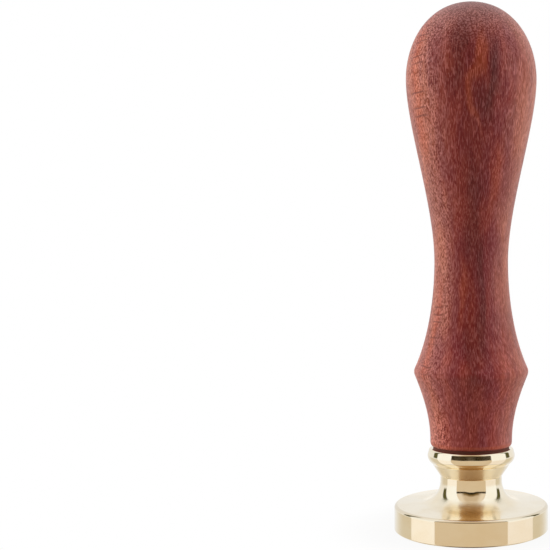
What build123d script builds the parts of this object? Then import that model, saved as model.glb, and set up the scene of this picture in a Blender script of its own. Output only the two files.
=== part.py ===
from build123d import *
import os
from math import acos, ceil, cos, pi, radians, sin, tan

# Wax seal stamp: a turned hardwood handle screwed onto a brass sealing head by a double-ended stud.
# Millimetres. The origin is the centre of the sealing face, which the stamp stands on, and +Z runs up to the knob.

# Sealing head, one turned brass piece
face_diameter = 25.0
face_edge_break = 0.2
wall_height = 3.6
wall_edge_radius = 0.5
dish_angle = 4.0
neck_diameter = 10.05
neck_fillet_radius = 3.4
neck_length = 0.934
collar_cone_height = 2.0
collar_cone_flare = 1.33
bead_overhang = 0.76
bead_lower_radius = 1.5
bead_upper_radius = 0.8
bead_facet_angle = 15.5
bead_facet_height = 0.917

# Engraving of the sealing face: a rosette of petals inside a ring of beads and a border line
engraving_depth = 0.8
engraving_draft = 20.0
border_inset = 1.3
border_width = 0.5
bead_ring_inset = 2.7
bead_dot_diameter = 0.9
bead_dot_count = 32
petal_count = 8
petal_tip_inset = 3.7
petal_length = 6.4
petal_width = 2.3
rosette_eye_diameter = 2.2
spark_length = 1.6
spark_width = 0.9

# Washer between the seat and the handle
washer_thickness = 0.38
washer_hole_clearance = 0.25

# Stud: machine thread in the head, plain shank and wood thread in the handle
machine_thread_diameter = 5.9
machine_thread_core = 4.8
machine_thread_pitch = 1.0
machine_thread_length = 8.5
machine_crest_width = 0.13
machine_root_width = 0.76
stud_tip_chamfer = 0.6
shank_diameter = 6.0
shank_length = 4.0
wood_thread_diameter = 5.7
wood_thread_core = 4.1
wood_thread_pitch = 2.5
wood_thread_length = 18.0
wood_crest_width = 0.15
wood_root_width = 0.95
wood_tip_length = 4.5
wood_tip_diameter = 1.0

# Fits
machine_thread_clearance = 0.1
wood_thread_clearance = 0.04
shank_clearance = 0.04
tapped_hole_run_out = 1.0
tapped_hole_countersink = 0.35
pilot_hole_run_out = 1.5
thread_root_sink = 0.1
thread_trim_margin = 0.3

# Handle, one turned hardwood piece: heights are above its lower end, and leads are how far each curve keeps its
# first direction
end_inset = 0.634
end_round_inset = 0.46
end_round_height = 0.86
skirt_lead = 3.8
belly_radius = 9.44
belly_height = 12.1
belly_lower_lead = 3.95
belly_lower_slope = 0.42
belly_upper_lead = 4.85
belly_upper_slope = 0.49
belly_rounding = 1.5
waist_radius = 6.01
waist_height = 29.95
waist_lower_lead = 6.15
waist_upper_lead = 9.2
knob_radius = 10.65
knob_height = 59.55
knob_lower_lead = 7.4
knob_upper_lead = 6.0
crown_lead = 7.1
handle_length = 72.0

# Places worked out from the sizes above
face_radius = face_diameter / 2
neck_radius = neck_diameter / 2
dish_slope = radians(dish_angle)
wall_edge_end_radius = face_radius - wall_edge_radius * (1 - sin(dish_slope))
wall_edge_end_height = wall_height + wall_edge_radius * cos(dish_slope)
fillet_centre_radius = neck_radius + neck_fillet_radius
fillet_start_radius = fillet_centre_radius - neck_fillet_radius * sin(dish_slope)
fillet_start_height = wall_edge_end_height + (wall_edge_end_radius - fillet_start_radius) * tan(dish_slope)
fillet_centre_height = fillet_start_height + neck_fillet_radius * cos(dish_slope)
crease_height = fillet_centre_height + neck_length
cone_top_radius = neck_radius + collar_cone_flare
cone_top_height = crease_height + collar_cone_height
bead_radius = cone_top_radius + bead_overhang
bead_lower_angle = acos(1 - bead_overhang / bead_lower_radius)
bead_height = cone_top_height + bead_lower_radius * sin(bead_lower_angle)
facet_slope = radians(bead_facet_angle)
facet_start_radius = bead_radius - bead_upper_radius * (1 - cos(facet_slope))
facet_start_height = bead_height + bead_upper_radius * sin(facet_slope)
seat_radius = facet_start_radius - bead_facet_height * tan(facet_slope)
seat_height = facet_start_height + bead_facet_height
handle_end_radius = seat_radius - end_inset
handle_end_height = seat_height + washer_thickness
stud_tip_height = seat_height - machine_thread_length
shank_top_height = handle_end_height + shank_length
stud_top_height = shank_top_height + wood_thread_length


def arc_points(centre_radius, centre_height, arc_radius, first_angle, last_angle):
    """Start, middle and end of a circular arc in the turning plane, angles in radians from outward."""
    angles = (first_angle, (first_angle + last_angle) / 2, last_angle)
    return [
        (centre_radius + arc_radius * cos(angle), centre_height + arc_radius * sin(angle)) for angle in angles
    ]


def rod(radius, bottom, top, bottom_radius=None):
    """Round bar on the axis between two heights, or a cone frustum where the lower end differs."""
    height = top - bottom
    place = Pos(0, 0, bottom)
    seated = (Align.CENTER, Align.CENTER, Align.MIN)
    if bottom_radius is None:
        return place * Cylinder(radius, height, align=seated)
    return place * Cone(bottom_radius, radius, height, align=seated)


def threaded_bar(core_radius, crest_radius, pitch, root_width, crest_width, bottom, top):
    """Bar with a helical ridge that covers bottom to top with whole turns to spare, for trimming to length."""
    start = bottom - pitch
    turns_height = top - bottom + 2 * pitch
    sink_width = root_width + (root_width - crest_width) * thread_root_sink / (crest_radius - core_radius)
    section_plane = Plane(origin=(core_radius, 0, start), x_dir=(1, 0, 0), z_dir=(0, -1, 0))
    section = section_plane * make_face(
        Polyline(
            (-thread_root_sink, -sink_width / 2),
            (crest_radius - core_radius, -crest_width / 2),
            (crest_radius - core_radius, crest_width / 2),
            (-thread_root_sink, sink_width / 2),
            close=True,
        )
    )
    path = Helix(pitch, turns_height, core_radius, center=(0, 0, start))
    ridge = sweep(section, path=path, is_frenet=True)
    return rod(core_radius, start - pitch, start + turns_height + pitch) + ridge


def machine_thread(clearance):
    """The thread that head and stud share: the stud's at no clearance, the head's groove with it."""
    spare_turns = ceil(tapped_hole_run_out / machine_thread_pitch)
    return threaded_bar(
        machine_thread_core / 2 + clearance,
        machine_thread_diameter / 2 + clearance,
        machine_thread_pitch,
        machine_root_width,
        machine_crest_width,
        stud_tip_height - spare_turns * machine_thread_pitch,
        handle_end_height,
    )


def wood_thread(clearance):
    """The thread that stud and handle share: the stud's at no clearance, the groove in the wood with it."""
    crest_radius = wood_thread_diameter / 2 + clearance
    envelope_radius = crest_radius + thread_trim_margin
    tip_radius = wood_tip_diameter / 2 + clearance
    tip_base_height = stud_top_height - wood_tip_length
    envelope = rod(envelope_radius, shank_top_height, tip_base_height)
    envelope += rod(tip_radius, tip_base_height, stud_top_height, envelope_radius)
    bar = threaded_bar(
        wood_thread_core / 2 + clearance,
        crest_radius,
        wood_thread_pitch,
        wood_root_width,
        wood_crest_width,
        shank_top_height,
        stud_top_height,
    )
    return bar & envelope


def engraving():
    """Everything that is cut into the sealing face, as one tool."""
    border_radius = face_radius - border_inset
    border = Circle(border_radius) - Circle(border_radius - border_width)
    tool = extrude(border, engraving_depth, taper=engraving_draft)

    dot = Sphere(bead_dot_diameter / 2)
    tool += PolarLocations(face_radius - bead_ring_inset, bead_dot_count) * dot
    tool += Sphere(rosette_eye_diameter / 2)

    petal_middle = face_radius - petal_tip_inset - petal_length / 2
    petal = extrude(pointed_oval(petal_length, petal_width), engraving_depth, taper=engraving_draft)
    tool += PolarLocations(petal_middle, petal_count) * petal

    half_step = 180 / petal_count
    spark_middle = face_radius - petal_tip_inset - spark_length / 2
    spark = extrude(pointed_oval(spark_length, spark_width), engraving_depth / 2, taper=engraving_draft)
    tool += PolarLocations(spark_middle, petal_count, start_angle=half_step) * spark
    return tool


def pointed_oval(length, width):
    """Petal outline, two arcs that meet in points at both ends of its length."""
    left, right = (-length / 2, 0), (length / 2, 0)
    lower = ThreePointArc(left, (0, -width / 2), right)
    upper = ThreePointArc(right, (0, width / 2), left)
    return make_face([lower, upper])


def stamp_head():
    """Brass disc, neck and beaded collar in one, engraved below and tapped from above."""
    wall_edge = arc_points(face_radius - wall_edge_radius, wall_height, wall_edge_radius, 0, pi / 2 - dish_slope)
    fillet_arc = arc_points(
        fillet_centre_radius, fillet_centre_height, neck_fillet_radius, -pi / 2 - dish_slope, -pi
    )
    bead_lower = arc_points(
        bead_radius - bead_lower_radius, bead_height, bead_lower_radius, -bead_lower_angle, 0
    )
    bead_upper = arc_points(
        bead_radius - bead_upper_radius, bead_height, bead_upper_radius, 0, facet_slope
    )
    outline = [
        Polyline((0, 0), (face_radius - face_edge_break, 0), (face_radius, face_edge_break), wall_edge[0]),
        ThreePointArc(*wall_edge),
        Line(wall_edge[-1], fillet_arc[0]),
        ThreePointArc(*fillet_arc),
        Polyline(fillet_arc[-1], (neck_radius, crease_height), bead_lower[0]),
        ThreePointArc(*bead_lower),
        ThreePointArc(*bead_upper),
        Polyline(bead_upper[-1], (seat_radius, seat_height), (0, seat_height), (0, 0)),
    ]
    body = revolve(Plane.XZ * make_face(outline), Axis.Z)

    tapped_bottom = stud_tip_height - tapped_hole_run_out
    mouth_radius = machine_thread_diameter / 2 + machine_thread_clearance
    countersink = rod(
        mouth_radius + tapped_hole_countersink,
        seat_height - tapped_hole_countersink,
        seat_height,
        mouth_radius,
    )
    tapped_envelope = rod(mouth_radius + thread_trim_margin, tapped_bottom, seat_height)
    tapped = machine_thread(machine_thread_clearance) & tapped_envelope
    return body - tapped - countersink - engraving()


def washer():
    """Thin ring that the handle's end presses onto the seat."""
    hole_radius = machine_thread_diameter / 2 + washer_hole_clearance
    outer = rod(handle_end_radius, seat_height, handle_end_height)
    return outer - rod(hole_radius, seat_height, handle_end_height)


def hanger_bolt():
    """Stud with a machine thread below, a plain shank in the middle and a pointed wood thread above."""
    envelope_radius = machine_thread_diameter / 2 + thread_trim_margin
    chamfer_top = stud_tip_height + thread_trim_margin + stud_tip_chamfer
    tip_radius = machine_thread_diameter / 2 - stud_tip_chamfer
    machine_envelope = rod(envelope_radius, chamfer_top, handle_end_height)
    machine_envelope += rod(envelope_radius, stud_tip_height, chamfer_top, tip_radius)
    machine_end = machine_thread(0) & machine_envelope
    shank = rod(shank_diameter / 2, handle_end_height, shank_top_height)
    return machine_end + shank + wood_thread(0)


def handle():
    """Pear-shaped handle: skirt, belly, waist, taper and domed knob, drilled for the stud."""
    end = (handle_end_radius, handle_end_height)
    skirt = (handle_end_radius + end_round_inset, handle_end_height + end_round_height)
    belly = (belly_radius, handle_end_height + belly_height)
    waist = (waist_radius, handle_end_height + waist_height)
    knob = (knob_radius, handle_end_height + knob_height)
    crown = (0, handle_end_height + handle_length)
    outline = [
        Line((0, handle_end_height), end),
        TangentArc(skirt, end, tangent=(0, -1)),
        Bezier(
            skirt,
            (skirt[0], skirt[1] + skirt_lead),
            (belly[0] - belly_lower_lead * belly_lower_slope, belly[1] - belly_lower_lead),
            belly,
        ),
        Bezier(
            belly,
            (belly[0] - belly_upper_lead * belly_upper_slope, belly[1] + belly_upper_lead),
            (waist[0], waist[1] - waist_lower_lead),
            waist,
        ),
        Bezier(waist, (waist[0], waist[1] + waist_upper_lead), (knob[0], knob[1] - knob_lower_lead), knob),
        Bezier(knob, (knob[0], knob[1] + knob_upper_lead), (crown_lead, crown[1]), crown),
        Line(crown, (0, handle_end_height)),
    ]
    turned = revolve(Plane.XZ * make_face(outline), Axis.Z)
    belly_edge = turned.edges().filter_by(GeomType.CIRCLE).sort_by(lambda edge: abs(edge.radius - belly_radius))[0]
    turned = fillet(belly_edge, belly_rounding)

    shank_hole = rod(shank_diameter / 2 + shank_clearance, handle_end_height, shank_top_height)
    pilot_radius = wood_tip_diameter / 2 + wood_thread_clearance
    run_out = rod(pilot_radius, stud_top_height, stud_top_height + pilot_hole_run_out)
    return turned - shank_hole - wood_thread(wood_thread_clearance) - run_out


pieces = {
    "stamp_head": stamp_head(),
    "washer": washer(),
    "hanger_bolt": hanger_bolt(),
    "handle": handle(),
}

os.makedirs("parts", exist_ok=True)
for node, piece in pieces.items():
    export_step(piece, f"parts/{node}.step")
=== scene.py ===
from math import acos, cos, hypot, pi, radians, sin, tan

import bpy
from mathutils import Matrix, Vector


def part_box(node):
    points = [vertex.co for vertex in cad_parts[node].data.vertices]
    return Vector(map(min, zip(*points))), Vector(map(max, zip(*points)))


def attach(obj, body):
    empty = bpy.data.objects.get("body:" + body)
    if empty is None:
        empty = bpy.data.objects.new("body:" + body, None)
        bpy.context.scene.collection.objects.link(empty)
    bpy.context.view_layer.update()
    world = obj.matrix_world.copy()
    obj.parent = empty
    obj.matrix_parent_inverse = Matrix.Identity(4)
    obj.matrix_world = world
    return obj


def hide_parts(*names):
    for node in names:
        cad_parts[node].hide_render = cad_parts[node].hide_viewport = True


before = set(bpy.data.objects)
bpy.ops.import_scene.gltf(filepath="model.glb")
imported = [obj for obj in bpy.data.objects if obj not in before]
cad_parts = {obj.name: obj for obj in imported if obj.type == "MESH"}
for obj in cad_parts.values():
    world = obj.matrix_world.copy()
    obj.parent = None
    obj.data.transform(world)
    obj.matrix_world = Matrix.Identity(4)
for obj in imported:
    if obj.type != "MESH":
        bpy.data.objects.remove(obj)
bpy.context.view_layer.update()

# Wax seal stamp standing on its head: polished brass, a thin dark fibre washer whose colour is painted shade
# of the joint between wood and brass, a hidden steel stud and a turned handle. Outlines are (radius, height)
# points in millimetres, and the meshes made from them are in metres.
MM = 0.001


def node_box(node):
    """A node's lowest and highest corners, in millimetres."""
    low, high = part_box(node)
    return low / MM, high / MM


# Places taken from the parts of model.glb
_, head_high = node_box("stamp_head")
_, washer_high = node_box("washer")
stud_low, stud_high = node_box("hanger_bolt")
handle_low, handle_high = node_box("handle")
face_radius = head_high.x
seat_height = head_high.z
handle_end_radius = washer_high.x
handle_end_height = handle_low.z
crown_height = handle_high.z
knob_radius = handle_high.x

# Sealing head
face_edge_break = 0.2
wall_height = 3.6
wall_edge_radius = 0.5
dish_angle = radians(4)
neck_radius = 5.025
neck_fillet_radius = 3.4
neck_length = 0.934
collar_cone_height = 2.0
collar_cone_flare = 1.33
bead_overhang = 0.76
bead_lower_radius = 1.5
bead_upper_radius = 0.8
bead_facet_angle = radians(15.5)
seat_edge_reach = 0.28

# Engraving of the sealing face
engraving_depth = 0.8
engraving_draft = radians(20)
border_inset = 1.3
border_width = 0.5
bead_ring_inset = 2.7
bead_dot_radius = 0.45
bead_dot_count = 32
petal_count = 8
petal_tip_inset = 3.7
petal_length = 6.4
petal_width = 2.3
rosette_eye_radius = 1.1
spark_length = 1.6
spark_width = 0.9

# Threads in the head and the handle, each a little wider than the stud's
machine_core_radius = 2.5
machine_crest_radius = 3.05
machine_pitch = 1.0
machine_root_width = 0.76
machine_crest_width = 0.13
tapped_run_out = 1.0
tapped_countersink = 0.35
shank_hole_radius = 3.04
shank_length = 4.0
wood_core_radius = 2.09
wood_crest_radius = 2.89
wood_pitch = 2.5
wood_root_width = 0.95
wood_crest_width = 0.15
wood_tip_length = 4.5
wood_tip_radius = 0.54
wood_tip_margin = 0.3
pilot_run_out = 1.5

# Turned handle: heights above its lower end, and leads along which each curve keeps its first direction
end_round_inset = 0.46
end_round_height = 0.86
skirt_lead = 3.8
belly_radius = 9.44
belly_height = 12.1
belly_lower_lead = 3.95
belly_lower_slope = 0.42
belly_upper_lead = 4.85
belly_upper_slope = 0.49
belly_rounding_reach = 0.68
waist_radius = 6.01
waist_height = 29.95
waist_lower_lead = 6.15
waist_upper_lead = 9.2
knob_height = 59.55
knob_lower_lead = 7.4
knob_upper_lead = 6.0
crown_lead = 7.1

# Fineness of the meshes
head_segments = 256
handle_segments = 192
outline_step = 0.16
wall_edge_step = 0.05
bead_step = 0.06
least_arc_steps = 4
curve_steps = 72
thread_step = 0.14
corner_steps = 6
fine_corner_reach = 0.05
corner_reach = 0.1
sharp_angle = radians(35)

# Camera: level, in front of the stamp, which stands at the right of a square picture
picture_size = 550
focal_length_px = 1017.6
axis_offset_px = 196.2
sensor_width = 36.0
camera_distance = 166.0
camera_height = 41.25
nearest_seen = 0.01
farthest_seen = 20.0

# Side lamps, in metres, degrees from the front and watts
lamp_distance = 0.6
lamp_width = 0.3
lamp_height = 0.6
lamp_azimuth = 82.0
left_lamp_power = 8.0
right_lamp_power = 6.4
lamp_colour = (1.0, 0.985, 0.96)

# Table top: half its side and its depth below the stamp in metres, and how white it looks next to the stamp
table_half_side = 3.0
table_drop = 0.02 * MM
table_colour = (0.42, 0.40, 0.38, 1)
table_roughness = 0.9
table_whiteness = 0.93


# Outlines and meshes


def between(start, end, share):
    """The point at a share of the way from start to end."""
    return start[0] + share * (end[0] - start[0]), start[1] + share * (end[1] - start[1])


def straight(start, end, step=outline_step):
    """Evenly spaced points from start to end."""
    count = max(1, round(hypot(end[0] - start[0], end[1] - start[1]) / step))
    return [between(start, end, index / count) for index in range(count + 1)]


def arc(centre, radius, first_angle, last_angle, step=outline_step):
    """Points on a circular arc, with angles in radians from outward."""
    count = max(least_arc_steps, round(abs(last_angle - first_angle) * radius / step))
    angles = [first_angle + (last_angle - first_angle) * index / count for index in range(count + 1)]
    return [(centre[0] + radius * cos(angle), centre[1] + radius * sin(angle)) for angle in angles]


def bezier(controls, steps=curve_steps):
    """Points on a Bezier curve with any number of control points."""
    points = []
    for index in range(steps + 1):
        level = controls
        while len(level) > 1:
            level = [between(start, end, index / steps) for start, end in zip(level, level[1:])]
        points.append(level[0])
    return points


def joined(*runs):
    """One outline from runs that each start where the last one ended."""
    outline = list(runs[0])
    for run in runs[1:]:
        outline += run[1:]
    return outline


def reached(path, reach):
    """How many points of a path lie within reach of its start, and the point at that reach."""
    last_gap = 0
    for count, point in enumerate(path):
        gap = hypot(point[0] - path[0][0], point[1] - path[0][1])
        if gap > reach:
            break
        last_gap = gap
    return count, between(path[count - 1], point, (reach - last_gap) / (gap - last_gap))


def softened(outline, corner, reach=corner_reach):
    """The same outline with one corner rounded off over a short reach on both sides."""
    index = outline.index(corner)
    behind, start = reached(outline[index::-1], reach)
    ahead, end = reached(outline[index:], reach)
    rounding = bezier([start, corner, end], corner_steps)
    return outline[: index - behind + 1] + rounding + outline[index + ahead :]


def lathe(name, sections, segments):
    """A closed turned mesh. Each section is an outline and a function that may shift its points round the
    axis, and the first and the last point of them all lie on the axis."""
    rings = [(point, shape) for outline, shape in sections for point in outline]
    vertices = [(0, 0, rings[0][0][1] * MM)]
    for (radius, height), shape in rings[1:-1]:
        for index in range(segments):
            angle = 2 * pi * index / segments
            r, z = shape(radius, height, angle) if shape else (radius, height)
            vertices.append((r * cos(angle) * MM, r * sin(angle) * MM, z * MM))
    vertices.append((0, 0, rings[-1][0][1] * MM))
    last = len(vertices) - 1
    last_ring = last - segments
    faces = []
    for index in range(segments):
        following = (index + 1) % segments
        faces.append((0, 1 + following, 1 + index))
        for ring in range(1, last_ring, segments):
            next_ring = ring + segments
            faces.append((ring + index, ring + following, next_ring + following, next_ring + index))
        faces.append((last_ring + index, last_ring + following, last))
    mesh = bpy.data.meshes.new(name)
    mesh.from_pydata(vertices, [], faces)
    mesh.shade_smooth()
    mesh.set_sharp_from_angle(angle=sharp_angle)
    piece = bpy.data.objects.new(name, mesh)
    bpy.context.collection.objects.link(piece)
    return piece


def clamped(value, low, high):
    """A value held between two limits."""
    return max(low, min(high, value))


def groove_radius(height, angle, start, core, crest, pitch, root_width, crest_width):
    """Radius of a right-hand threaded hole at one height and angle. At angle 0 its groove passes the start
    height."""
    turns = (height - start) / pitch - angle / (2 * pi)
    offset = abs(turns - round(turns)) * pitch
    share = (root_width / 2 - offset) / ((root_width - crest_width) / 2)
    return core + (crest - core) * clamped(share, 0, 1)


# Brass head


def drafted(inside, depth):
    """Depth of a cut with sloping walls, at some distance inside its edge."""
    return clamped(inside / tan(engraving_draft), 0, depth)


def oval_depth(along, across, length, width, depth):
    """Depth of a pointed oval cut at a point measured from its middle."""
    side_radius = (length**2 + width**2) / (4 * width)
    return drafted(side_radius - hypot(along, abs(across) + side_radius - width / 2), depth)


def dimple_depth(gap, radius):
    """Depth of a half-round dimple at some distance from its middle."""
    return max(0, radius**2 - gap**2) ** 0.5


def engraved(radius, height, angle):
    """Lifts a point of the sealing face to the bottom of whatever is cut there."""
    petal_turn = 2 * pi / petal_count
    dot_turn = 2 * pi / bead_dot_count
    petal_angle = (angle + petal_turn / 2) % petal_turn - petal_turn / 2
    spark_angle = angle % petal_turn - petal_turn / 2
    dot_angle = (angle + dot_turn / 2) % dot_turn - dot_turn / 2
    petal_middle = face_radius - petal_tip_inset - petal_length / 2
    spark_middle = face_radius - petal_tip_inset - spark_length / 2
    dot_ring = face_radius - bead_ring_inset
    border_middle = face_radius - border_inset - border_width / 2
    dot_gap = hypot(radius * cos(dot_angle) - dot_ring, radius * sin(dot_angle))
    depth = max(
        drafted(border_width / 2 - abs(radius - border_middle), engraving_depth),
        dimple_depth(dot_gap, bead_dot_radius),
        dimple_depth(radius, rosette_eye_radius),
        oval_depth(
            radius * cos(petal_angle) - petal_middle,
            radius * sin(petal_angle),
            petal_length,
            petal_width,
            engraving_depth,
        ),
        oval_depth(
            radius * cos(spark_angle) - spark_middle,
            radius * sin(spark_angle),
            spark_length,
            spark_width,
            engraving_depth / 2,
        ),
    )
    return radius, height + depth


def tapped(radius, height, angle):
    """Cuts the machine thread into the wall of the head's hole."""
    thread_radius = groove_radius(
        height,
        angle,
        stud_low.z,
        machine_core_radius,
        machine_crest_radius,
        machine_pitch,
        machine_root_width,
        machine_crest_width,
    )
    return thread_radius, height


def head_outside():
    """Outline of the head from the edge of the sealing face up to the seat."""
    face_edge = (face_radius - face_edge_break, 0)
    wall_foot = (face_radius, face_edge_break)
    wall_edge_centre = (face_radius - wall_edge_radius, wall_height)
    wall_edge = arc(wall_edge_centre, wall_edge_radius, 0, pi / 2 - dish_angle, wall_edge_step)
    wall_end_radius, wall_end_height = wall_edge[-1]
    fillet_centre_radius = neck_radius + neck_fillet_radius
    fillet_start_radius = fillet_centre_radius - neck_fillet_radius * sin(dish_angle)
    fillet_start_height = wall_end_height + (wall_end_radius - fillet_start_radius) * tan(dish_angle)
    fillet_centre = (fillet_centre_radius, fillet_start_height + neck_fillet_radius * cos(dish_angle))
    fillet = arc(fillet_centre, neck_fillet_radius, -pi / 2 - dish_angle, -pi)
    crease = (neck_radius, fillet_centre[1] + neck_length)
    cone_top = (neck_radius + collar_cone_flare, crease[1] + collar_cone_height)
    bead_radius = cone_top[0] + bead_overhang
    lower_angle = acos(1 - bead_overhang / bead_lower_radius)
    bead_height = cone_top[1] + bead_lower_radius * sin(lower_angle)
    lower_centre = (bead_radius - bead_lower_radius, bead_height)
    upper_centre = (bead_radius - bead_upper_radius, bead_height)
    bead = joined(
        arc(lower_centre, bead_lower_radius, -lower_angle, 0, bead_step),
        arc(upper_centre, bead_upper_radius, 0, bead_facet_angle, bead_step),
    )
    seat_edge = (bead[-1][0] - (seat_height - bead[-1][1]) * tan(bead_facet_angle), seat_height)
    mouth_radius = machine_crest_radius + tapped_countersink
    outline = joined(
        straight((face_edge[0] - corner_reach, 0), face_edge, fine_corner_reach),
        straight(face_edge, wall_foot, fine_corner_reach),
        straight(wall_foot, wall_edge[0]),
        wall_edge,
        straight(wall_edge[-1], fillet[0]),
        fillet,
        straight(fillet[-1], crease),
        straight(crease, bead[0]),
        bead,
        straight(bead[-1], seat_edge, bead_step),
        straight(seat_edge, (mouth_radius, seat_height)),
    )
    for corner in (face_edge, wall_foot):
        outline = softened(outline, corner, fine_corner_reach)
    for corner in (crease, bead[0]):
        outline = softened(outline, corner)
    return softened(outline, seat_edge, seat_edge_reach)


def stamp_head():
    """Sealing disc, neck and beaded collar in one piece, engraved below and tapped above."""
    face = straight((0, 0), (face_radius - face_edge_break - 2 * corner_reach, 0))
    tapped_top = seat_height - tapped_countersink
    tapped_bottom = stud_low.z - tapped_run_out
    thread = straight((machine_crest_radius, tapped_top), (machine_crest_radius, tapped_bottom), thread_step)
    piece = lathe(
        "brass_head",
        [(face, engraved), (head_outside(), None), (thread, tapped), ([(0, tapped_bottom)], None)],
        head_segments,
    )
    piece.data.materials.append(polished_brass())
    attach(piece, "head")
    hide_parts("stamp_head")


# Hardwood handle


def screwed(radius, height, angle):
    """Cuts the wood thread into the wall of the handle's hole, down to the narrower pilot hole at its tip."""
    thread_radius = groove_radius(
        height,
        angle,
        handle_end_height + shank_length,
        wood_core_radius,
        wood_crest_radius,
        wood_pitch,
        wood_root_width,
        wood_crest_width,
    )
    return min(thread_radius, radius), height


def handle_outside():
    """Outline of the handle from the mouth of its hole over skirt, belly, waist and knob to the crown."""
    end = (handle_end_radius, handle_end_height)
    skirt = (handle_end_radius + end_round_inset, handle_end_height + end_round_height)
    belly = (belly_radius, handle_end_height + belly_height)
    waist = (waist_radius, handle_end_height + waist_height)
    knob = (knob_radius, handle_end_height + knob_height)
    crown = (0, crown_height)
    outline = joined(
        straight((shank_hole_radius, handle_end_height), end),
        bezier([end, (skirt[0], end[1]), skirt], 2 * corner_steps),
        bezier(
            [
                skirt,
                (skirt[0], skirt[1] + skirt_lead),
                (belly[0] - belly_lower_lead * belly_lower_slope, belly[1] - belly_lower_lead),
                belly,
            ]
        ),
        bezier(
            [
                belly,
                (belly[0] - belly_upper_lead * belly_upper_slope, belly[1] + belly_upper_lead),
                (waist[0], waist[1] - waist_lower_lead),
                waist,
            ]
        ),
        bezier([waist, (waist[0], waist[1] + waist_upper_lead), (knob[0], knob[1] - knob_lower_lead), knob]),
        bezier([knob, (knob[0], knob[1] + knob_upper_lead), (crown_lead, crown[1]), crown]),
    )
    return softened(outline, belly, belly_rounding_reach)


def handle_hole():
    """Outlines of the hole for the stud from its upper end down: pilot hole, thread and shank hole."""
    shank_top = handle_end_height + shank_length
    tip_base = stud_high.z - wood_tip_length
    pilot = [(0, stud_high.z + pilot_run_out), (wood_tip_radius, stud_high.z + pilot_run_out)]
    tip_base_radius = wood_crest_radius + wood_tip_margin
    tip = straight((wood_tip_radius, stud_high.z), (tip_base_radius, tip_base), 2 * thread_step)
    thread = straight((tip_base_radius, tip_base), (tip_base_radius, shank_top), 2 * thread_step)
    shank = straight((shank_hole_radius, shank_top), (shank_hole_radius, handle_end_height + thread_step))
    return [(pilot, None), (joined(tip, thread), screwed), (shank, None)]


def handle():
    """Pear-shaped turned handle, drilled from below."""
    piece = lathe("turned_handle", handle_hole() + [(handle_outside(), None)], handle_segments)
    piece.data.materials.append(rosewood())
    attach(piece, "handle")
    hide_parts("handle")


# Nodes of materials


def srgb(red, green, blue):
    """A colour written as it looks on a screen, from 0 to 255, as linear light by the sRGB curve."""
    channels = [value / 255 for value in (red, green, blue)]
    linear = [c / 12.92 if c <= 0.04045 else ((c + 0.055) / 1.055) ** 2.4 for c in channels]
    return (*linear, 1)


def new_material(name):
    """A material with one Principled shader, its node tree and that shader."""
    made = bpy.data.materials.new(name)
    made.use_nodes = True
    tree = made.node_tree
    return made, tree, tree.nodes["Principled BSDF"]


def feed(tree, socket, source):
    """Links a socket to another one, or sets it to a plain value."""
    if isinstance(source, bpy.types.NodeSocket):
        tree.links.new(source, socket)
    else:
        socket.default_value = source


def calc(tree, operation, *sources):
    """One Math node."""
    node = tree.nodes.new("ShaderNodeMath")
    node.operation = operation
    for socket, source in zip(node.inputs, sources):
        feed(tree, socket, source)
    return node.outputs["Value"]


def vector_calc(tree, operation, *sources):
    """One Vector Math node."""
    node = tree.nodes.new("ShaderNodeVectorMath")
    node.operation = operation
    for socket, source in zip(node.inputs, sources):
        feed(tree, socket, source)
    return node.outputs["Vector"]


def scaled(tree, vector, level):
    """A place or a colour times a level."""
    node = tree.nodes.new("ShaderNodeVectorMath")
    node.operation = "SCALE"
    feed(tree, node.inputs["Vector"], vector)
    feed(tree, node.inputs["Scale"], level)
    return node.outputs["Vector"]


def combined(tree, x, y, z):
    """A vector from its three parts."""
    node = tree.nodes.new("ShaderNodeCombineXYZ")
    for socket, source in zip(node.inputs, (x, y, z)):
        feed(tree, socket, source)
    return node.outputs["Vector"]


def split(tree, vector):
    """The three parts of a vector."""
    node = tree.nodes.new("ShaderNodeSeparateXYZ")
    feed(tree, node.inputs["Vector"], vector)
    return node.outputs["X"], node.outputs["Y"], node.outputs["Z"]


def eased(tree, value, low, high, low_result=0.0, high_result=1.0):
    """A smooth step of a value from one result to another."""
    node = tree.nodes.new("ShaderNodeMapRange")
    node.interpolation_type = "SMOOTHSTEP"
    for name, source in (
        ("Value", value),
        ("From Min", low),
        ("From Max", high),
        ("To Min", low_result),
        ("To Max", high_result),
    ):
        feed(tree, node.inputs[name], source)
    return node.outputs["Result"]


def fading(tree, value, low, high):
    """A smooth step of a value from 1 down to 0."""
    return eased(tree, value, low, high, 1.0, 0.0)


def band(tree, value, low, high, soft):
    """1 between two limits of a value and 0 outside them, with soft edges."""
    rise = eased(tree, value, low - soft, low + soft)
    fall = fading(tree, value, high - soft, high + soft)
    return calc(tree, "MULTIPLY", rise, fall)


def mixed(tree, factor, first, second, blend="MIX"):
    """Two colours mixed by a factor."""
    node = tree.nodes.new("ShaderNodeMix")
    node.data_type = "RGBA"
    node.blend_type = blend
    for name, source in (("Factor_Float", factor), ("A_Color", first), ("B_Color", second)):
        socket = next(socket for socket in node.inputs if socket.identifier == name)
        feed(tree, socket, source)
    return next(socket for socket in node.outputs if socket.identifier == "Result_Color")


def weighted(tree, mask, weight, first, second):
    """A second colour laid over a first one where a mask says, at a weight."""
    return mixed(tree, calc(tree, "MULTIPLY", mask, weight), first, second)


def either(tree, factor, first, second):
    """Two shaders mixed by a factor."""
    node = tree.nodes.new("ShaderNodeMixShader")
    for socket, source in zip(node.inputs, (factor, first, second)):
        feed(tree, socket, source)
    return node.outputs["Shader"]


def position(tree):
    """Place in the object, in millimetres."""
    coordinates = tree.nodes.new("ShaderNodeTexCoord")
    return scaled(tree, coordinates.outputs["Object"], 1 / MM)


def from_axis(tree, x, y):
    """Distance from the stamp's axis."""
    squares = calc(tree, "ADD", calc(tree, "MULTIPLY", x, x), calc(tree, "MULTIPLY", y, y))
    return calc(tree, "SQRT", squares)


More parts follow.
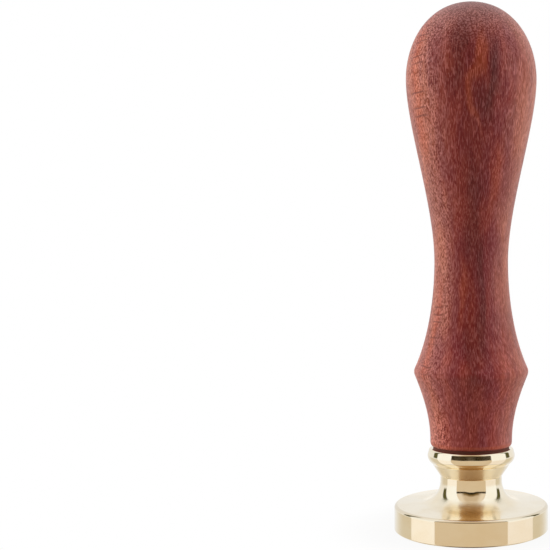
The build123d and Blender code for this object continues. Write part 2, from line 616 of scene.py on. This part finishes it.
def azimuth_from_front(tree, x, y):
    """Angle round the stamp's axis in degrees, 0 at the front and growing to the right."""
    return calc(tree, "DEGREES", calc(tree, "ARCTAN2", x, calc(tree, "MULTIPLY", y, -1.0)))


def noise(tree, place, grain, detail=2.0, roughness=0.5, output="Fac"):
    """Noise whose spots have the given size in millimetres along X, Y and Z."""
    node = tree.nodes.new("ShaderNodeTexNoise")
    feed(tree, node.inputs["Vector"], vector_calc(tree, "DIVIDE", place, grain))
    node.inputs["Scale"].default_value = 1.0
    node.inputs["Detail"].default_value = detail
    node.inputs["Roughness"].default_value = roughness
    return node.outputs[output]


def plain_noise(tree, place, grain):
    """Noise of one spot size only."""
    return noise(tree, place, grain, 0.0)


# Detail of the slow noise that makes figures waver
drift_detail = 1.0


def wavered(tree, place, grain, reach):
    """A place shifted by slow noise, so that straight figures waver."""
    drift = noise(tree, place, grain, drift_detail, output="Color")
    return vector_calc(tree, "MULTIPLY_ADD", drift, (reach, reach, 0), place)


def bumped(tree, shader, height, depth, strength):
    """Gives a shader a bump from a height of 0 to 1 over a depth in millimetres."""
    node = tree.nodes.new("ShaderNodeBump")
    node.inputs["Strength"].default_value = strength
    node.inputs["Distance"].default_value = depth * MM
    feed(tree, node.inputs["Height"], height)
    feed(tree, shader.inputs["Normal"], node.outputs["Normal"])


# Brass: sizes of its spots and turning marks, and where it is engraved, carries a painted dark reflection
# line, or is satin, in millimetres
cloud_size = (3.5, 3.5, 2.5)
cloud_detail = 3.0
turning_size = (0.09, 1.0, 0.09)
cut_heights = (0.12, engraving_depth + 0.5)
cut_blur = 0.08
cut_edge = (face_radius - 0.6, face_radius - 0.3)
# Painted reflection: a darker line along the disc's upper edge, standing for the dark strip its rounded edge
# mirrors
painted_edge_line_heights = (3.75, 4.3)
painted_edge_line_blur = 0.1
painted_edge_line_radii = (11.95, 12.15)
neck_foot_heights = (4.3, 5.6)
neck_foot_blur = 0.25
cone_heights = (8.8, 10.6)
cone_blur = 0.1

# Brass: its colours, and what each mark adds to its finish
bright_brass = (0.97, 0.86, 0.66, 1)
warm_brass = (0.95, 0.82, 0.60, 1)
cut_brass = (0.62, 0.46, 0.26, 1)
# Colour of the painted dark reflection line at the disc's upper edge
painted_edge_line_brass = (0.66, 0.54, 0.38, 1)
warm_limits = (0.35, 0.7)
painted_edge_line_weight = 0.4
polish_limits = (0.3, 0.75)
polish_roughness = (0.045, 0.085)
turning_roughness = 0.03
neck_foot_roughness = 0.16
cone_roughness = 0.26
cut_roughness = 0.38
turning_blur = 0.9
turning_blur_turn = 0.25
turning_depth = 0.002
turning_strength = 0.05


def polished_brass():
    """Bright turned brass with cloudy patches in its polish, a painted dark reflection line along the disc's
    upper edge, and matt in the engraving. Its turning marks blur what it mirrors up and down, most at the
    neck's foot and on the cone."""
    made, tree, shader = new_material("polished_brass")
    place = position(tree)
    x, y, z = split(tree, place)
    radius = from_axis(tree, x, y)
    cloud = noise(tree, place, cloud_size, cloud_detail)
    turning = noise(tree, combined(tree, radius, 0.0, z), turning_size)
    cut = calc(tree, "MULTIPLY", band(tree, z, *cut_heights, cut_blur), fading(tree, radius, *cut_edge))
    # Mask of the painted dark reflection line along the disc's upper edge
    painted_edge_line = calc(tree, "MULTIPLY", band(tree, z, *painted_edge_line_heights, painted_edge_line_blur), eased(tree, radius, *painted_edge_line_radii))

    colour = mixed(tree, eased(tree, cloud, *warm_limits), bright_brass, warm_brass)
    colour = weighted(tree, painted_edge_line, painted_edge_line_weight, colour, painted_edge_line_brass)
    feed(tree, shader.inputs["Base Color"], mixed(tree, cut, colour, cut_brass))
    shader.inputs["Metallic"].default_value = 1.0

    polish = eased(tree, cloud, *polish_limits, *polish_roughness)
    satin = calc(tree, "ADD", polish, calc(tree, "MULTIPLY", turning, turning_roughness))
    neck_foot = band(tree, z, *neck_foot_heights, neck_foot_blur)
    satin = calc(tree, "MULTIPLY_ADD", neck_foot, neck_foot_roughness, satin)
    cone = band(tree, z, *cone_heights, cone_blur)
    satin = calc(tree, "MULTIPLY_ADD", cone, cone_roughness, satin)
    rough = calc(tree, "MAXIMUM", satin, calc(tree, "MULTIPLY", cut, cut_roughness))
    feed(tree, shader.inputs["Roughness"], rough)

    round_axis = tree.nodes.new("ShaderNodeTangent")
    round_axis.direction_type = "RADIAL"
    round_axis.axis = "Z"
    feed(tree, shader.inputs["Tangent"], round_axis.outputs["Tangent"])
    shader.inputs["Anisotropic"].default_value = turning_blur
    shader.inputs["Anisotropic Rotation"].default_value = turning_blur_turn
    bumped(tree, shader, turning, turning_depth, turning_strength)
    return made


# Rosewood: tones
plum = srgb(102, 33, 36)
red = srgb(114, 40, 33)
# rose and sand also colour the painted sheen towards the sides of the handle
rose = srgb(131, 77, 66)
sand = srgb(147, 88, 71)
mauve = srgb(129, 82, 76)
orange = srgb(152, 70, 42)
dark = srgb(70, 25, 26)
ray = srgb(88, 36, 25)

# Rosewood: sizes of its bends and marks along X, Y and Z, and how far the bends reach, in millimetres
bend_size = (9.0, 9.0, 14.0)
bend_reach = 1.6
ripple_size = (1.2, 1.2, 2.2)
ripple_reach = 0.35
wander_size = (3.0, 3.0, 8.0)
ribbon_size = (2.4, 2.4, 12.0)
upright_size = (0.13, 0.13, 2.0)
worm_glint_size = (0.2, 0.2, 0.4)
hair_size = (0.115, 0.115, 0.8)
dot_size = (0.24, 0.24, 0.28)
pore_size = (0.13, 0.13, 0.8)
rung_drift_size = (2.2, 2.2, 1.6)

# Radius at which upright marks have the width that is written for them, and how much of that width follows it
stroke_radius = 8.0
stroke_draw = 0.75

# Rosewood: limits of the noise between which each mark comes out
ribbon_limits = (0.36, 0.66)
upright_limits = (0.3, 0.7)
worm_glint_limits = (0.4, 0.62)
hair_limits = (0.53, 0.65)
dot_limits = (0.5, 0.58)
pore_limits = (0.54, 0.68)

# Rosewood: azimuths in degrees from the front
wander_angle = 26.0
right_angle = 90.0
# Painted sheen: the wood pales towards its sides, away from this azimuth, standing for the sheen of the side
# lamps
least_sheen_azimuth = 6.0
painted_sheen_edge = (15.0, 68.0)
quarter_azimuths = (-82.0, -30.0)
quarter_blur = 8.0

# Rosewood: heights over which it changes, and what it changes to
# Painted sheen of the sides is weaker low down
painted_sheen_heights = (13.0, 46.0)
low_painted_sheen = 0.68
mauve_heights = (76.0, 85.5)
mauve_weight = 0.85
skirt_heights = (24.0, 34.0)
skirt_brightness = 1.14
skirt_level = 0.25
corner_heights = (15.0, 22.0)
# Heights where upright hairs give way to end-grain dots at the crown, whose pale dots are partly painted
# glints
end_grain_glint_heights = (72.0, 82.0)
contrast_heights = (70.0, 80.0)
crown_contrast = 1.4
# Painted highlight along the rounded lower end of the handle
painted_rim_highlight_heights = (handle_end_height + 0.15, handle_end_height + 0.7)
painted_rim_highlight_blur = 0.15
painted_rim_highlight_weight = 0.4

# Levels by which each mark makes the wood deeper or paler
fleck_levels = (-0.4, 1.7)
upright_levels = (-0.5, 0.5)
pore_level = -0.4
# Wormy marks of the left quarter: the figure, with its pale squiggles as painted glints
worm_glint_levels = (-1.2, 1.2)
corner_levels = (-1.3, 1.9)

# Gain and grey that one level adds to the wood's colour, and the deepest colour that is left
fleck_gain = 0.18
fleck_grey = 0.0145
deepest_wood = (0.04, 0.003, 0.003)

# Finish of the wood
wood_roughness = (0.42, 0.6)
wood_specular = 0.35
fleck_relief = 0.5
relief_depth = 0.03
relief_strength = 0.35

# Streaks: azimuth and half width in degrees, lowest and highest height, lean in degrees a millimetre, weight
orange_streaks = [
    (8.0, 7.0, 70.0, 79.0, 1.3, 0.5),
    (4.0, 5.0, 64.0, 71.0, -1.0, 0.4),
    (-58.0, 13.0, 60.0, 82.0, 0.0, 0.45),
    (-56.0, 12.0, 24.0, 40.0, 0.0, 0.4),
    (-12.0, 10.0, 33.0, 44.0, 0.0, 0.3),
    (28.0, 7.0, 52.0, 62.0, -0.6, 0.25),
    (34.0, 8.0, 20.0, 30.0, 0.4, 0.2),
    (-68.0, 34.0, 77.0, 86.0, 0.0, 0.2),
]
dark_streaks = [
    (19.0, 11.0, 66.0, 77.0, 0.4, 0.65),
    (-12.0, 14.0, 70.0, 80.0, 0.3, 0.5),
    (14.0, 10.0, 28.0, 46.0, 0.0, 0.45),
    (20.0, 6.0, 33.5, 36.5, 0.0, 0.7),
    (2.0, 16.0, 24.0, 33.0, 0.0, 0.35),
    (2.0, 16.0, 44.0, 58.0, 0.0, 0.3),
    (64.0, 26.0, 14.0, 40.0, 0.0, 0.16),
    (-68.0, 34.0, 77.0, 86.0, 0.0, 0.12),
]
pale_streaks = [(64.0, 30.0, 76.0, 86.0, 0.0, 0.4)]
streak_end_blur = 3.0

# Rays that show as a ladder of short dark rungs: heights of their clusters, and the wave that makes the rungs
ray_clusters = [
    (77.3, 79.6),
    (74.3, 76.2),
    (69.0, 70.9),
    (65.4, 68.2),
    (33.4, 36.6),
    (30.2, 31.8),
    (25.5, 27.8),
]
cluster_blur = 0.5
ladder_azimuths = (-63.0, -44.0)
ladder_blur = 4.0
ladder_weight = 0.7
rung_wave = 5.4
rung_drift = 3.0
rung_limits = (0.6, 0.95)


def drawn_in(tree, place, radius):
    """A place drawn in towards one radius, so that upright figures stay long where a surface slopes."""
    spread = calc(tree, "MULTIPLY_ADD", radius, stroke_draw / stroke_radius, 1 - stroke_draw)
    share = calc(tree, "DIVIDE", 1.0, spread)
    return vector_calc(tree, "MULTIPLY", place, combined(tree, share, share, 1.0))


def flecked(tree, colour, level):
    """A colour made paler or deeper by a level, partly with grey, so that pale flecks look dusty."""
    gain = calc(tree, "MULTIPLY_ADD", level, fleck_gain, 1.0)
    grey = calc(tree, "MULTIPLY", level, fleck_grey)
    return vector_calc(tree, "MAXIMUM", vector_calc(tree, "MULTIPLY_ADD", colour, gain, grey), deepest_wood)


def streak(tree, angle, z, azimuth, half_width, low, high, lean):
    """A soft streak along the handle at an azimuth, between two heights."""
    middle = calc(tree, "MULTIPLY_ADD", z, lean, azimuth - lean * (low + high) / 2)
    across = calc(tree, "ABSOLUTE", calc(tree, "SUBTRACT", angle, middle))
    ends = band(tree, z, low, high, streak_end_blur)
    return calc(tree, "MULTIPLY", fading(tree, across, 0.0, half_width), ends)


def wood_figure(tree, wavy, angle, z):
    """The wood's colour without fine marks: plum and red ribbons, paler towards the sides with painted sheen
    of the side lamps, mauve crown and streaks.
    """
    ribbon = eased(tree, noise(tree, wavy, ribbon_size), *ribbon_limits)
    # Painted sheen: the tones towards the sides are paler than those at the front
    unsheened_tones = mixed(tree, ribbon, plum, red)
    painted_sheen_tones = mixed(tree, ribbon, rose, sand)
    turn_from_least_sheen = calc(tree, "ABSOLUTE", calc(tree, "ADD", angle, -least_sheen_azimuth))
    low_fade = eased(tree, z, *painted_sheen_heights, low_painted_sheen, 1.0)
    painted_sheen = calc(tree, "MULTIPLY", eased(tree, turn_from_least_sheen, *painted_sheen_edge), low_fade)
    colour = mixed(tree, painted_sheen, unsheened_tones, painted_sheen_tones)
    colour = mixed(tree, eased(tree, z, *mauve_heights, 0.0, mauve_weight), colour, mauve)
    colour = scaled(tree, colour, eased(tree, z, *skirt_heights, skirt_brightness, 1.0))
    for streaks, tone in ((orange_streaks, orange), (dark_streaks, dark), (pale_streaks, sand)):
        for *shape, weight in streaks:
            colour = weighted(tree, streak(tree, angle, z, *shape), weight, colour, tone)
    return colour


def wood_marks(tree, place, wavy, radius, angle, z):
    """Fine marks of the wood: the level by which they make it deeper or paler, its flecks and its pores.
    Upright hairs turn into dots of end grain at the crown, whose pale dots are partly painted glints. The
    left quarter has wormy marks of the figure whose pale squiggles are painted glints of the left lamp, and
    dots low down."""
    fibres = drawn_in(tree, wavy, radius)
    ripple = wavered(tree, wavy, ripple_size, ripple_reach)
    quarter = band(tree, angle, *quarter_azimuths, quarter_blur)
    corner = calc(tree, "MULTIPLY", quarter, fading(tree, z, *corner_heights))
    upright = eased(tree, plain_noise(tree, fibres, upright_size), *upright_limits, *upright_levels)
    # Wormy figure whose pale squiggles are painted glints of the left lamp
    worm_and_glint = eased(tree, plain_noise(tree, ripple, worm_glint_size), *worm_glint_limits, *worm_glint_levels)
    hair = eased(tree, plain_noise(tree, fibres, hair_size), *hair_limits)
    dot = eased(tree, plain_noise(tree, place, dot_size), *dot_limits)
    pore = eased(tree, plain_noise(tree, fibres, pore_size), *pore_limits)
    # End-grain dots at the crown, paled partly as painted glints
    fleck = eased(tree, z, *end_grain_glint_heights, hair, dot)
    level = calc(tree, "ADD", eased(tree, fleck, 0.0, 1.0, *fleck_levels), upright)
    level = calc(tree, "MULTIPLY_ADD", pore, pore_level, level)
    level = calc(tree, "MULTIPLY", level, eased(tree, z, *contrast_heights, 1.0, crown_contrast))
    level = calc(tree, "ADD", level, eased(tree, z, *skirt_heights, skirt_level, 0.0))
    level = calc(tree, "MULTIPLY_ADD", quarter, worm_and_glint, level)
    level = calc(tree, "MULTIPLY_ADD", corner, eased(tree, dot, 0.0, 1.0, *corner_levels), level)
    return level, fleck, pore


def ray_ladder(tree, place, around, z):
    """Short level rungs in clusters up the left side of the handle."""
    drift = plain_noise(tree, place, rung_drift_size)
    phase = calc(tree, "MULTIPLY_ADD", drift, rung_drift, calc(tree, "MULTIPLY", z, rung_wave))
    rungs = eased(tree, calc(tree, "SINE", phase), *rung_limits)
    clusters = band(tree, z, *ray_clusters[0], cluster_blur)
    for low, high in ray_clusters[1:]:
        clusters = calc(tree, "MAXIMUM", clusters, band(tree, z, low, high, cluster_blur))
    side = band(tree, around, *ladder_azimuths, ladder_blur)
    return calc(tree, "MULTIPLY", side, calc(tree, "MULTIPLY", rungs, clusters))


def rosewood():
    """Satin red-brown hardwood with a painted highlight along its lower end and painted sheen towards its
    sides. Its figure runs right through the wood, so that it comes out the same on opposite sides."""
    made, tree, shader = new_material("rosewood")
    place = position(tree)
    x, y, z = split(tree, place)
    wavy = wavered(tree, place, bend_size, bend_reach)
    around = azimuth_from_front(tree, x, y)
    drift = noise(tree, place, wander_size, drift_detail)
    wander = calc(tree, "MULTIPLY_ADD", drift, wander_angle, -wander_angle / 2)
    angle = calc(tree, "WRAP", calc(tree, "ADD", around, wander), right_angle, -right_angle)
    level, fleck, pore = wood_marks(tree, place, wavy, from_axis(tree, x, y), angle, z)

    colour = flecked(tree, wood_figure(tree, wavy, angle, z), level)
    # Painted highlight: an orange rim along the lower end
    colour = weighted(tree, band(tree, z, *painted_rim_highlight_heights, painted_rim_highlight_blur), painted_rim_highlight_weight, colour, orange)
    colour = weighted(tree, ray_ladder(tree, place, around, z), ladder_weight, colour, ray)
    feed(tree, shader.inputs["Base Color"], colour)
    feed(tree, shader.inputs["Roughness"], eased(tree, pore, 0.0, 1.0, *wood_roughness))
    relief = calc(tree, "SUBTRACT", calc(tree, "MULTIPLY", fleck, fleck_relief), pore)
    bumped(tree, shader, relief, relief_depth, relief_strength)
    shader.inputs["Specular IOR Level"].default_value = wood_specular
    return made


# Fibre and steel: their tones, the fibre's dark ones painted shade of the joint, sizes of their spots in
# millimetres, and their finish
deep_joint_shade = srgb(58, 20, 11)
pale_joint_shade = srgb(82, 33, 19)
felt_size = (0.35, 0.35, 0.06)
felt_tone_limits = (0.3, 0.7)
felt_roughness = (0.55, 0.8)
felt_depth = 0.02
felt_strength = 0.4
bright_zinc = srgb(206, 209, 212)
dull_zinc = srgb(176, 178, 180)
zinc_grain_size = (0.5, 0.5, 0.12)
zinc_spot_size = (1.6, 1.6, 1.6)
zinc_spot_limits = (0.4, 0.7)
zinc_roughness = (0.2, 0.36)
zinc_depth = 0.004
zinc_strength = 0.2
grain_detail = 3.0
grain_fineness = 0.6
grain_limits = (0.2, 0.8)


def joint_shade_fibre():
    """Matt dark brown fibre board with a felted surface and layered edge; its dark colour is painted shade of
    the joint between wood and brass.
    """
    made, tree, shader = new_material("joint_shade_fibre")
    felt = noise(tree, position(tree), felt_size, grain_detail, grain_fineness)
    colour = mixed(tree, eased(tree, felt, *felt_tone_limits), deep_joint_shade, pale_joint_shade)
    feed(tree, shader.inputs["Base Color"], colour)
    feed(tree, shader.inputs["Roughness"], eased(tree, felt, *grain_limits, *felt_roughness))
    bumped(tree, shader, felt, felt_depth, felt_strength)
    return made


def plated_steel():
    """Bright zinc plating with a faint grain along the threads and darker spots."""
    made, tree, shader = new_material("plated_steel")
    place = position(tree)
    grain = noise(tree, place, zinc_grain_size, grain_detail, grain_fineness)
    spots = noise(tree, place, zinc_spot_size)
    colour = mixed(tree, eased(tree, spots, *zinc_spot_limits), bright_zinc, dull_zinc)
    feed(tree, shader.inputs["Base Color"], colour)
    shader.inputs["Metallic"].default_value = 1.0
    feed(tree, shader.inputs["Roughness"], eased(tree, grain, *grain_limits, *zinc_roughness))
    bumped(tree, shader, grain, zinc_depth, zinc_strength)
    return made


def dress(node, made):
    """Gives a node of model.glb its material in place of the plain one it came with."""
    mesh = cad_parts[node].data
    mesh.materials.clear()
    mesh.materials.append(made)


# Studio that the brass mirrors: colours
wall = (0.87, 0.89, 0.93, 1)
high_wall = (0.94, 0.94, 0.96, 1)
low_wall = (0.68, 0.63, 0.53, 1)
panel = (1.0, 1.05, 1.12, 1)
left_panel_foot = (0.99, 0.97, 0.96, 1)
right_panel_foot = (0.92, 0.88, 0.86, 1)
panel_gap = (0.10, 0.095, 0.035, 1)
front = (0.68, 0.575, 0.44, 1)
front_shade = (0.02, 0.014, 0.005, 1)
front_glow = (0.22, 0.14, 0.055, 1)
upper_front = (0.60, 0.49, 0.37, 1)
upper_side = (0.79, 0.71, 0.62, 1)
ceiling = (0.86, 0.80, 0.71, 1)
mirrored_table = (0.62, 0.55, 0.45, 1)
contact_shade = (0.10, 0.055, 0.03, 1)
groove_tint = (0.66, 0.50, 0.33, 1)
white = (1, 1, 1, 1)

# Studio: azimuths in degrees from the front, over which one thing passes into the next
front_middle_edge = (4.0, 24.0)
front_side_edge = (22.0, 42.0)
front_edge = (54.5, 55.5)
panel_edge = (100.5, 102.0)
gap_azimuths = (103.0, 119.0)
gap_azimuth_blur = 2.0
panel_turn = 2.0
low_wall_edge = (118.0, 160.0)
backdrop_edge = (164.0, 174.0)
foot_sides = (-30.0, 30.0)

# Studio: heights in degrees above the horizon, over which one thing passes into the next
shade_heights = (14.0, 15.5)
glow_heights = (20.0, 26.0)
upper_heights = (27.0, 38.0)
ceiling_heights = (60.0, 80.0)
middle_shade_lift = 4.0
middle_glow_lift = 7.0
gap_heights = (2.0, 46.0)
gap_height_blur = 4.0
low_wall_top = (-12.0, -3.0)
panel_foot_top = (-13.0, -4.0)
high_wall_heights = (45.0, 54.0)
table_edge = (-50.0, -38.0)
contact_edge = (-70.0, -62.0)
backdrop_heights = (-55.0, 7.0)
backdrop_blur = 3.0

# Depths of rays mirrored once and twice, and the share of the dark gaps that the latter see
mirror_depths = (1.0, 2.0)
gap_left = 0.35


def front_column(tree, spread, rise, mirrored_twice):
    """Colours in front of the stamp, from below: a warm front, a dark strip, a glow, and paler ones up to the
    ceiling. Rays mirrored twice see them in a deeper gold."""
    middle = fading(tree, spread, *front_middle_edge)
    off_middle = eased(tree, spread, *front_side_edge)
    shade_rise = calc(tree, "MULTIPLY_ADD", middle, -middle_shade_lift, rise)
    glow_rise = calc(tree, "MULTIPLY_ADD", middle, -middle_glow_lift, rise)
    glow = mixed(tree, off_middle, front_glow, upper_side)
    upper = mixed(tree, off_middle, upper_front, upper_side)
    colour = mixed(tree, eased(tree, shade_rise, *shade_heights), front, front_shade)
    colour = mixed(tree, eased(tree, glow_rise, *glow_heights), colour, glow)
    colour = mixed(tree, eased(tree, glow_rise, *upper_heights), colour, upper)
    colour = mixed(tree, eased(tree, rise, *ceiling_heights), colour, ceiling)
    return mixed(tree, mirrored_twice, colour, groove_tint, "MULTIPLY")


def mirrored_studio(tree, azimuth, spread, rise, mirrored_twice):
    """Colours all round: a pale wall behind, tall panels at both sides with a dark gap at their far edges,
    the front, and below them the table, dark where the stamp stands."""
    outer = calc(tree, "ABSOLUTE", calc(tree, "ADD", azimuth, -panel_turn))
    low_sides = fading(tree, spread, *low_wall_edge)
    low_share = calc(tree, "MULTIPLY", low_sides, fading(tree, rise, *low_wall_top))
    colour = mixed(tree, low_share, wall, low_wall)
    colour = mixed(tree, eased(tree, rise, *high_wall_heights), colour, high_wall)
    gap_sides = band(tree, outer, *gap_azimuths, gap_azimuth_blur)
    gap = calc(tree, "MULTIPLY", gap_sides, band(tree, rise, *gap_heights, gap_height_blur))
    gap_share = calc(tree, "MULTIPLY", gap, eased(tree, mirrored_twice, 0.0, 1.0, 1.0, gap_left))
    colour = mixed(tree, gap_share, colour, panel_gap)
    panel_foot = mixed(tree, eased(tree, azimuth, *foot_sides), left_panel_foot, right_panel_foot)
    panels = mixed(tree, eased(tree, rise, *panel_foot_top), panel_foot, panel)
    colour = mixed(tree, fading(tree, outer, *panel_edge), colour, panels)
    column = front_column(tree, spread, rise, mirrored_twice)
    colour = mixed(tree, fading(tree, spread, *front_edge), colour, column)
    colour = mixed(tree, fading(tree, rise, *table_edge), colour, mirrored_table)
    return mixed(tree, fading(tree, rise, *contact_edge), colour, contact_shade)


def studio_world():
    """Surroundings that are white for the camera, and for mirrored rays straight behind the stamp, and a
    plain studio elsewhere."""
    world = bpy.data.worlds.new("studio")
    bpy.context.scene.world = world
    world.use_nodes = True
    tree = world.node_tree
    coordinates = tree.nodes.new("ShaderNodeTexCoord")
    x, y, z = split(tree, coordinates.outputs["Generated"])
    azimuth = azimuth_from_front(tree, x, y)
    spread = calc(tree, "ABSOLUTE", azimuth)
    rise = calc(tree, "DEGREES", calc(tree, "ARCSINE", z))
    rays = tree.nodes.new("ShaderNodeLightPath")
    mirrored_twice = eased(tree, rays.outputs["Glossy Depth"], *mirror_depths)

    lit = tree.nodes["Background"]
    feed(tree, lit.inputs["Color"], mirrored_studio(tree, azimuth, spread, rise, mirrored_twice))
    backdrop = tree.nodes.new("ShaderNodeBackground")
    backdrop.inputs["Color"].default_value = white
    mirrored = calc(tree, "MAXIMUM", rays.outputs["Is Glossy Ray"], rays.outputs["Is Transmission Ray"])
    backdrop_rise = band(tree, rise, *backdrop_heights, backdrop_blur)
    backdrop_share = calc(tree, "MULTIPLY", eased(tree, spread, *backdrop_edge), backdrop_rise)
    behind = calc(tree, "MULTIPLY", mirrored, backdrop_share)
    seen_white = calc(tree, "MAXIMUM", rays.outputs["Is Camera Ray"], behind)
    surroundings = either(tree, seen_white, lit.outputs["Background"], backdrop.outputs["Background"])
    feed(tree, tree.nodes["World Output"].inputs["Surface"], surroundings)


def side_lamp(name, azimuth, power):
    """Soft lamp at one side of the stamp, in line with that side's panel, at an azimuth from the front."""
    data = bpy.data.lights.new(name, "AREA")
    data.shape = "RECTANGLE"
    data.size = lamp_width
    data.size_y = lamp_height
    data.energy = power
    data.color = lamp_colour
    lamp = bpy.data.objects.new(name, data)
    turn = radians(azimuth)
    lamp.location = (lamp_distance * sin(turn), -lamp_distance * cos(turn), crown_height * MM / 2)
    lamp.rotation_euler = (pi / 2, 0, turn)
    lamp.visible_camera = False
    lamp.visible_glossy = False
    bpy.context.collection.objects.link(lamp)


def table_top():
    """Pale surface that keeps a soft contact shadow, fades to white further off and is clear from below."""
    made, tree, shader = new_material("table_top")
    shader.inputs["Base Color"].default_value = table_colour
    shader.inputs["Roughness"].default_value = table_roughness
    distance = tree.nodes.new("ShaderNodeVectorMath")
    distance.operation = "LENGTH"
    feed(tree, distance.inputs[0], position(tree))
    glow = tree.nodes.new("ShaderNodeEmission")
    rays = tree.nodes.new("ShaderNodeLightPath")
    whiteness = eased(tree, distance.outputs["Value"], face_radius, 2 * face_radius, table_whiteness, 1.0)
    seen_white = calc(tree, "MULTIPLY", rays.outputs["Is Camera Ray"], whiteness)
    upper_side_look = either(tree, seen_white, shader.outputs["BSDF"], glow.outputs["Emission"])
    side = tree.nodes.new("ShaderNodeNewGeometry")
    clear = tree.nodes.new("ShaderNodeBsdfTransparent")
    look = either(tree, side.outputs["Backfacing"], upper_side_look, clear.outputs["BSDF"])
    feed(tree, tree.nodes["Material Output"].inputs["Surface"], look)
    return made


def floor():
    """Table top under the stamp, out of sight of mirrored rays."""
    corners = [(-1, -1), (1, -1), (1, 1), (-1, 1)]
    mesh = bpy.data.meshes.new("floor")
    mesh.from_pydata(
        [(x * table_half_side, y * table_half_side, -table_drop) for x, y in corners],
        [],
        [(0, 1, 2, 3)],
    )
    mesh.materials.append(table_top())
    table = bpy.data.objects.new("floor", mesh)
    table.visible_glossy = False
    bpy.context.collection.objects.link(table)


def camera():
    """Level camera in front of the stamp, with the picture shifted so that the stamp stands at its right."""
    data = bpy.data.cameras.new("camera")
    data.sensor_width = sensor_width
    data.lens = sensor_width * focal_length_px / picture_size
    data.shift_x = -axis_offset_px / picture_size
    data.clip_start = nearest_seen
    data.clip_end = farthest_seen
    viewer = bpy.data.objects.new("camera", data)
    viewer.location = (0, -camera_distance * MM, camera_height * MM)
    viewer.rotation_euler = (pi / 2, 0, 0)
    bpy.context.collection.objects.link(viewer)
    bpy.context.scene.camera = viewer


stamp_head()
handle()
# The washer's dark colour is painted shade of the joint between wood and brass
dress("washer", joint_shade_fibre())
dress("hanger_bolt", plated_steel())
studio_world()
side_lamp("left_lamp", -lamp_azimuth, left_lamp_power)
side_lamp("right_lamp", lamp_azimuth, right_lamp_power)
floor()
camera()
bpy.context.scene.view_settings.view_transform = "Standard"
